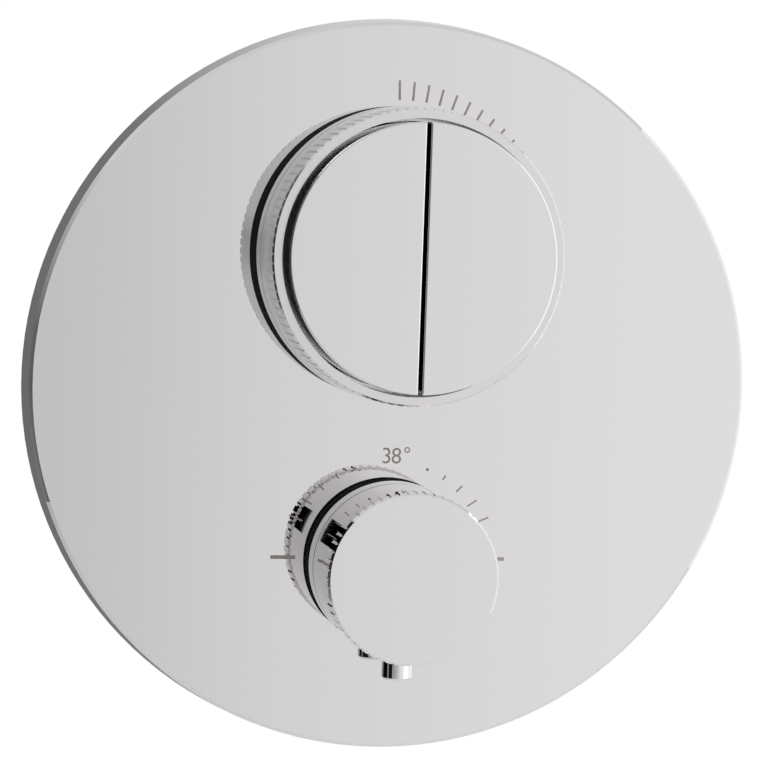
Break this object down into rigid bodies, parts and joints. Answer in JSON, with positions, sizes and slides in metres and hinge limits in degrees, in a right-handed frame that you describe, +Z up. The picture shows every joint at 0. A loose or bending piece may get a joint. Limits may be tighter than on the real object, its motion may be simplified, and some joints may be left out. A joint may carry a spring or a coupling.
{
  "type": "thermostatic shower valve",
  "caption": "Concealed thermostatic shower valve with a round face plate, a turning flow ring round two push buttons, and a temperature knob with a pin lever.",
  "frame": {"origin": "centre of the round face plate on the finished wall plane, which is the centre of the four wall screws", "axes": "+X to the right seen from the front, +Z up, the controls stand out towards -Y and the valve body lies in the wall towards +Y"},
  "size_m": [0.2, 0.125, 0.2],
  "materials": {
    "chrome": "polished",
    "brass": "cast and machined",
    "steel": "stamped",
    "black_rubber": "matt",
    "moulded_plastic": "moulded",
    "ceramic": "lapped"
  },
  "bodies": {
    "valve": {"base_screws": "steel", "bracket_screws": "steel", "button_guide": "moulded_plastic", "button_spring_left": "steel", "button_spring_right": "steel", "carrier_screws": "steel", "carrier_standoffs": "brass", "cartridge_housing": "brass", "cartridge_nut": "brass", "cartridge_orings": "black_rubber", "check_valve_cold": "moulded_plastic", "check_valve_hot": "moulded_plastic", "face_plate": "chrome", "gallery_plug": "brass", "guide_screws": "steel", "knob_seal": "black_rubber", "knob_sleeve": "chrome", "mechanism_base": "brass", "mounting_bracket": "steel", "plate_carrier": "steel", "plate_gasket": "black_rubber", "plate_grommets": "moulded_plastic", "push_cartridge_left": "brass", "push_cartridge_right": "brass", "return_spring": "steel", "ring_seal": "black_rubber", "ring_sleeve": "chrome", "seat_disc_left": "ceramic", "seat_disc_right": "ceramic", "stop_ring": "moulded_plastic", "strainer_cold": "steel", "strainer_hot": "steel", "valve_body": "brass"},
    "ring": {"flow_ring": "chrome", "ring_gear": "moulded_plastic", "ring_gear_screws": "steel"},
    "pinion_left": {"flow_pinion_left": "brass", "flow_disc_left": "ceramic"},
    "pinion_right": {"flow_pinion_right": "brass", "flow_disc_right": "ceramic"},
    "button_left": {"button_left": "chrome", "push_rod_left": "steel", "outlet_stopper_left": "black_rubber"},
    "button_right": {"button_right": "chrome", "push_rod_right": "steel", "outlet_stopper_right": "black_rubber"},
    "knob": {"knob_shell": "chrome", "pin_lever": "chrome", "knob_adapter": "moulded_plastic", "thermostat_spindle": "brass"},
    "thermostat": {"overload_nut": "moulded_plastic", "wax_element": "brass", "shuttle": "moulded_plastic"}
  },
  "joints": [
    {"name": "ring_turn", "type": "hinge", "parent": "valve", "child": "ring", "pos_m": [0, -0.02, 0.0364], "axis": [0, 1, 0], "range_deg": [0, 75]},
    {"name": "pinion_turn_left", "type": "hinge", "parent": "valve", "child": "pinion_left", "pos_m": [-0.016, -0.01, 0.0364], "axis": [0, 1, 0], "range_deg": [0, 195]},
    {"name": "pinion_turn_right", "type": "hinge", "parent": "valve", "child": "pinion_right", "pos_m": [0.016, -0.01, 0.0364], "axis": [0, 1, 0], "range_deg": [0, 195]},
    {"name": "press_left", "type": "slide", "parent": "valve", "child": "button_left", "axis": [0, 1, 0], "range_m": [0, 0.0035], "stiffness_N_per_m": 1500, "springref_m": -0.002, "deforming": ["button_spring_left"]},
    {"name": "press_right", "type": "slide", "parent": "valve", "child": "button_right", "axis": [0, 1, 0], "range_m": [0, 0.0035], "stiffness_N_per_m": 1500, "springref_m": -0.002, "deforming": ["button_spring_right"]},
    {"name": "knob_turn", "type": "hinge", "parent": "valve", "child": "knob", "pos_m": [0, -0.03, -0.0476], "axis": [0, 1, 0], "range_deg": [-90, 90]},
    {"name": "thermostat_slide", "type": "slide", "parent": "valve", "child": "thermostat", "axis": [0, 1, 0], "range_m": [-0.001, 0.001], "deforming": ["return_spring"]}
  ],
  "couplings": [
    {"joint": "pinion_turn_left", "follows": "ring_turn", "ratio": 2.6},
    {"joint": "pinion_turn_right", "follows": "ring_turn", "ratio": 2.6},
    {"joint": "thermostat_slide", "follows": "knob_turn", "m_per_rad": 0.00063662}
  ]
}
